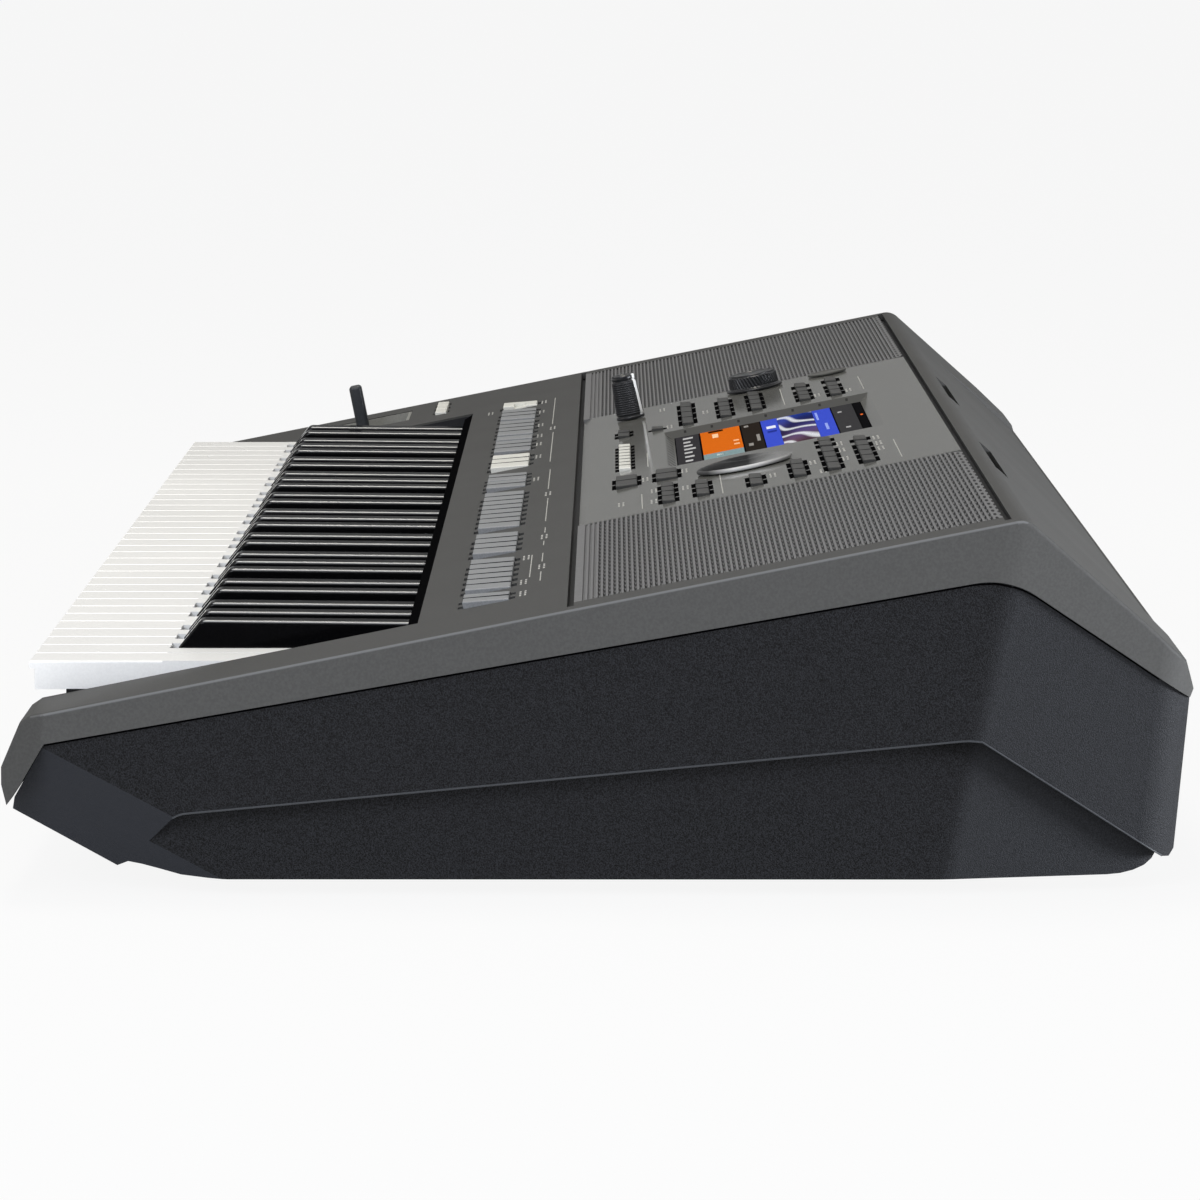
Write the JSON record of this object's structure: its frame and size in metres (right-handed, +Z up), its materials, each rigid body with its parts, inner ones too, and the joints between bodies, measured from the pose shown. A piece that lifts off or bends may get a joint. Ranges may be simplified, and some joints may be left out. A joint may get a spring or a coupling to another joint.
{
  "type": "arranger keyboard",
  "caption": "Electronic arranger keyboard with hinged keys, a sloping control panel with a display, push buttons, knobs, a joystick and two speaker grilles.",
  "frame": {"origin": "middle of the footprint on the table, under the feet", "axes": "+X to the player's right along the key row, +Y to the back, +Z up"},
  "size_m": [1.025, 0.41, 0.1314],
  "materials": {
    "upper_shell": "satin warm grey moulding",
    "lower_shell": "fine grained charcoal moulding",
    "plate": "silky painted plate",
    "grille": "ribbed speaker grille",
    "baffle": "black inner plate",
    "white_key": "polished white",
    "black_key": "polished black",
    "chassis": "black key bed",
    "steel": "drawn steel",
    "felt": "pressed wool felt",
    "board": "lacquered circuit board",
    "dome": "silicone domes",
    "switch": "small push switches",
    "grey_cap": "blue-grey caps",
    "white_cap": "off-white caps",
    "dark_cap": "dark grey caps",
    "knob": "dark ribbed knobs",
    "dial": "bright turned dial",
    "glass": "cover glass of the display",
    "module": "display module",
    "dish": "joystick dish",
    "stick": "joystick lever",
    "jack": "jack bodies",
    "magnet": "ferrite magnets",
    "paper": "pressed paper cones",
    "foot": "rubber feet"
  },
  "bodies": {
    "case": {"upper_case": "upper_shell", "lower_case": "lower_shell", "center_panel": "plate", "grille_left": "grille", "grille_right": "grille", "top_baffle": "baffle", "key_chassis": "chassis", "pivot_rod": "steel", "key_felt": "felt", "contact_board": "board", "contact_domes": "dome", "row_board": "board", "panel_board": "board", "main_board": "board", "jack_board": "board", "rear_panel": "chassis", "phone_jacks": "jack", "usb_ports": "steel", "power_inlet": "jack", "speaker_baskets": "steel", "speaker_cones": "paper", "speaker_magnets": "magnet", "display_glass": "glass", "display_module": "module", "joystick_base": "dish", "control_pots": "steel", "feet": "foot", "case_screws": "steel", "tact_switches": "switch", "rest_rail": "upper_shell", "rear_slope": "upper_shell", "rear_wall": "lower_shell"},
    "keys_c": {"keys_c": "white_key"},
    "keys_c_sharp": {"keys_c_sharp": "black_key"},
    "keys_d": {"keys_d": "white_key"},
    "keys_d_sharp": {"keys_d_sharp": "black_key"},
    "keys_e": {"keys_e": "white_key"},
    "keys_f": {"keys_f": "white_key"},
    "keys_f_sharp": {"keys_f_sharp": "black_key"},
    "keys_g": {"keys_g": "white_key"},
    "keys_g_sharp": {"keys_g_sharp": "black_key"},
    "keys_a": {"keys_a": "white_key"},
    "keys_a_sharp": {"keys_a_sharp": "black_key"},
    "keys_b": {"keys_b": "white_key"},
    "power_button": {"power_button": "white_cap"},
    "row_buttons_left": {"row_buttons_left": "grey_cap"},
    "row_buttons_white": {"row_buttons_white": "white_cap"},
    "row_buttons_mid": {"row_buttons_mid": "grey_cap"},
    "row_buttons_right": {"row_buttons_right": "grey_cap"},
    "cheek_buttons": {"cheek_buttons": "white_cap"},
    "panel_buttons_left": {"panel_buttons_left": "dark_cap"},
    "panel_buttons_front": {"panel_buttons_front": "dark_cap"},
    "memory_buttons": {"memory_buttons": "white_cap"},
    "panel_buttons_right": {"panel_buttons_right": "dark_cap"},
    "tall_knob": {"tall_knob": "knob"},
    "wide_knob": {"wide_knob": "knob"},
    "disc_knob": {"disc_knob": "knob"},
    "data_dial": {"data_dial": "dial"},
    "joystick_gimbal": {"joystick_gimbal": "stick"},
    "joystick_stick": {"joystick_stick": "stick"}
  },
  "joints": [
    {"name": "keys_c_hinge", "type": "hinge", "parent": "case", "child": "keys_c", "pos_m": [0.0375, -0.032, 0.0716], "axis": [1, 0, 0], "range_deg": [0, 3.4], "stiffness_Nm_per_rad": 1.6, "springref_deg": -11.46},
    {"name": "keys_c_sharp_hinge", "type": "hinge", "parent": "case", "child": "keys_c_sharp", "pos_m": [0.0375, -0.032, 0.0716], "axis": [1, 0, 0], "range_deg": [0, 3.4], "stiffness_Nm_per_rad": 1.6, "springref_deg": -11.46},
    {"name": "keys_d_hinge", "type": "hinge", "parent": "case", "child": "keys_d", "pos_m": [0.0375, -0.032, 0.0716], "axis": [1, 0, 0], "range_deg": [0, 3.4], "stiffness_Nm_per_rad": 1.6, "springref_deg": -11.46},
    {"name": "keys_d_sharp_hinge", "type": "hinge", "parent": "case", "child": "keys_d_sharp", "pos_m": [0.0375, -0.032, 0.0716], "axis": [1, 0, 0], "range_deg": [0, 3.4], "stiffness_Nm_per_rad": 1.6, "springref_deg": -11.46},
    {"name": "keys_e_hinge", "type": "hinge", "parent": "case", "child": "keys_e", "pos_m": [0.0375, -0.032, 0.0716], "axis": [1, 0, 0], "range_deg": [0, 3.4], "stiffness_Nm_per_rad": 1.6, "springref_deg": -11.46},
    {"name": "keys_f_hinge", "type": "hinge", "parent": "case", "child": "keys_f", "pos_m": [0.0375, -0.032, 0.0716], "axis": [1, 0, 0], "range_deg": [0, 3.4], "stiffness_Nm_per_rad": 1.6, "springref_deg": -11.46},
    {"name": "keys_f_sharp_hinge", "type": "hinge", "parent": "case", "child": "keys_f_sharp", "pos_m": [0.0375, -0.032, 0.0716], "axis": [1, 0, 0], "range_deg": [0, 3.4], "stiffness_Nm_per_rad": 1.6, "springref_deg": -11.46},
    {"name": "keys_g_hinge", "type": "hinge", "parent": "case", "child": "keys_g", "pos_m": [0.0375, -0.032, 0.0716], "axis": [1, 0, 0], "range_deg": [0, 3.4], "stiffness_Nm_per_rad": 1.6, "springref_deg": -11.46},
    {"name": "keys_g_sharp_hinge", "type": "hinge", "parent": "case", "child": "keys_g_sharp", "pos_m": [0.0375, -0.032, 0.0716], "axis": [1, 0, 0], "range_deg": [0, 3.4], "stiffness_Nm_per_rad": 1.6, "springref_deg": -11.46},
    {"name": "keys_a_hinge", "type": "hinge", "parent": "case", "child": "keys_a", "pos_m": [0.0375, -0.032, 0.0716], "axis": [1, 0, 0], "range_deg": [0, 3.4], "stiffness_Nm_per_rad": 1.6, "springref_deg": -11.46},
    {"name": "keys_a_sharp_hinge", "type": "hinge", "parent": "case", "child": "keys_a_sharp", "pos_m": [0.0375, -0.032, 0.0716], "axis": [1, 0, 0], "range_deg": [0, 3.4], "stiffness_Nm_per_rad": 1.6, "springref_deg": -11.46},
    {"name": "keys_b_hinge", "type": "hinge", "parent": "case", "child": "keys_b", "pos_m": [0.0375, -0.032, 0.0716], "axis": [1, 0, 0], "range_deg": [0, 3.4], "stiffness_Nm_per_rad": 1.6, "springref_deg": -11.46},
    {"name": "power_button_press", "type": "slide", "parent": "case", "child": "power_button", "axis": [0, 0.1955, -0.9807], "range_m": [0, 0.001], "stiffness_N_per_m": 400, "springref_m": -0.002},
    {"name": "row_buttons_left_press", "type": "slide", "parent": "case", "child": "row_buttons_left", "axis": [0, 0.1955, -0.9807], "range_m": [0, 0.001], "stiffness_N_per_m": 400, "springref_m": -0.002},
    {"name": "row_buttons_white_press", "type": "slide", "parent": "case", "child": "row_buttons_white", "axis": [0, 0.1955, -0.9807], "range_m": [0, 0.001], "stiffness_N_per_m": 400, "springref_m": -0.002},
    {"name": "row_buttons_mid_press", "type": "slide", "parent": "case", "child": "row_buttons_mid", "axis": [0, 0.1955, -0.9807], "range_m": [0, 0.001], "stiffness_N_per_m": 400, "springref_m": -0.002},
    {"name": "row_buttons_right_press", "type": "slide", "parent": "case", "child": "row_buttons_right", "axis": [0, 0.1955, -0.9807], "range_m": [0, 0.001], "stiffness_N_per_m": 400, "springref_m": -0.002},
    {"name": "cheek_buttons_press", "type": "slide", "parent": "case", "child": "cheek_buttons", "axis": [0, 0.1955, -0.9807], "range_m": [0, 0.001], "stiffness_N_per_m": 400, "springref_m": -0.002},
    {"name": "panel_buttons_left_press", "type": "slide", "parent": "case", "child": "panel_buttons_left", "axis": [0, 0.1955, -0.9807], "range_m": [0, 0.001], "stiffness_N_per_m": 400, "springref_m": -0.002},
    {"name": "panel_buttons_front_press", "type": "slide", "parent": "case", "child": "panel_buttons_front", "axis": [0, 0.1955, -0.9807], "range_m": [0, 0.001], "stiffness_N_per_m": 400, "springref_m": -0.002},
    {"name": "memory_buttons_press", "type": "slide", "parent": "case", "child": "memory_buttons", "axis": [0, 0.1955, -0.9807], "range_m": [0, 0.001], "stiffness_N_per_m": 400, "springref_m": -0.002},
    {"name": "panel_buttons_right_press", "type": "slide", "parent": "case", "child": "panel_buttons_right", "axis": [0, 0.1955, -0.9807], "range_m": [0, 0.001], "stiffness_N_per_m": 400, "springref_m": -0.002},
    {"name": "tall_knob_turn", "type": "hinge", "parent": "case", "child": "tall_knob", "pos_m": [-0.18149, 0.01301, 0.1055], "axis": [0, -0.1955, 0.9807], "range_deg": [-150, 150]},
    {"name": "wide_knob_turn", "type": "hinge", "parent": "case", "child": "wide_knob", "pos_m": [-0.20949, 0.06969, 0.11681], "axis": [0, -0.1955, 0.9807], "range_deg": [-150, 150]},
    {"name": "disc_knob_turn", "type": "hinge", "parent": "case", "child": "disc_knob", "pos_m": [-0.21411, 0.103, 0.12345], "axis": [0, -0.1955, 0.9807], "range_deg": [-150, 150]},
    {"name": "data_dial_turn", "type": "hinge", "parent": "case", "child": "data_dial", "pos_m": [0.13851, 0.05761, 0.1144], "axis": [0, -0.1955, 0.9807], "continuous": true},
    {"name": "joystick_wheel", "type": "hinge", "parent": "case", "child": "joystick_gimbal", "pos_m": [-0.45549, -0.11676, 0.06229], "axis": [1, 0, 0], "range_deg": [-18, 18], "stiffness_Nm_per_rad": 0.25},
    {"name": "joystick_bend", "type": "hinge", "parent": "joystick_gimbal", "child": "joystick_stick", "pos_m": [-0.45549, -0.11676, 0.06229], "axis": [0, 0.9807, 0.1955], "range_deg": [-18, 18], "stiffness_Nm_per_rad": 0.25}
  ]
}
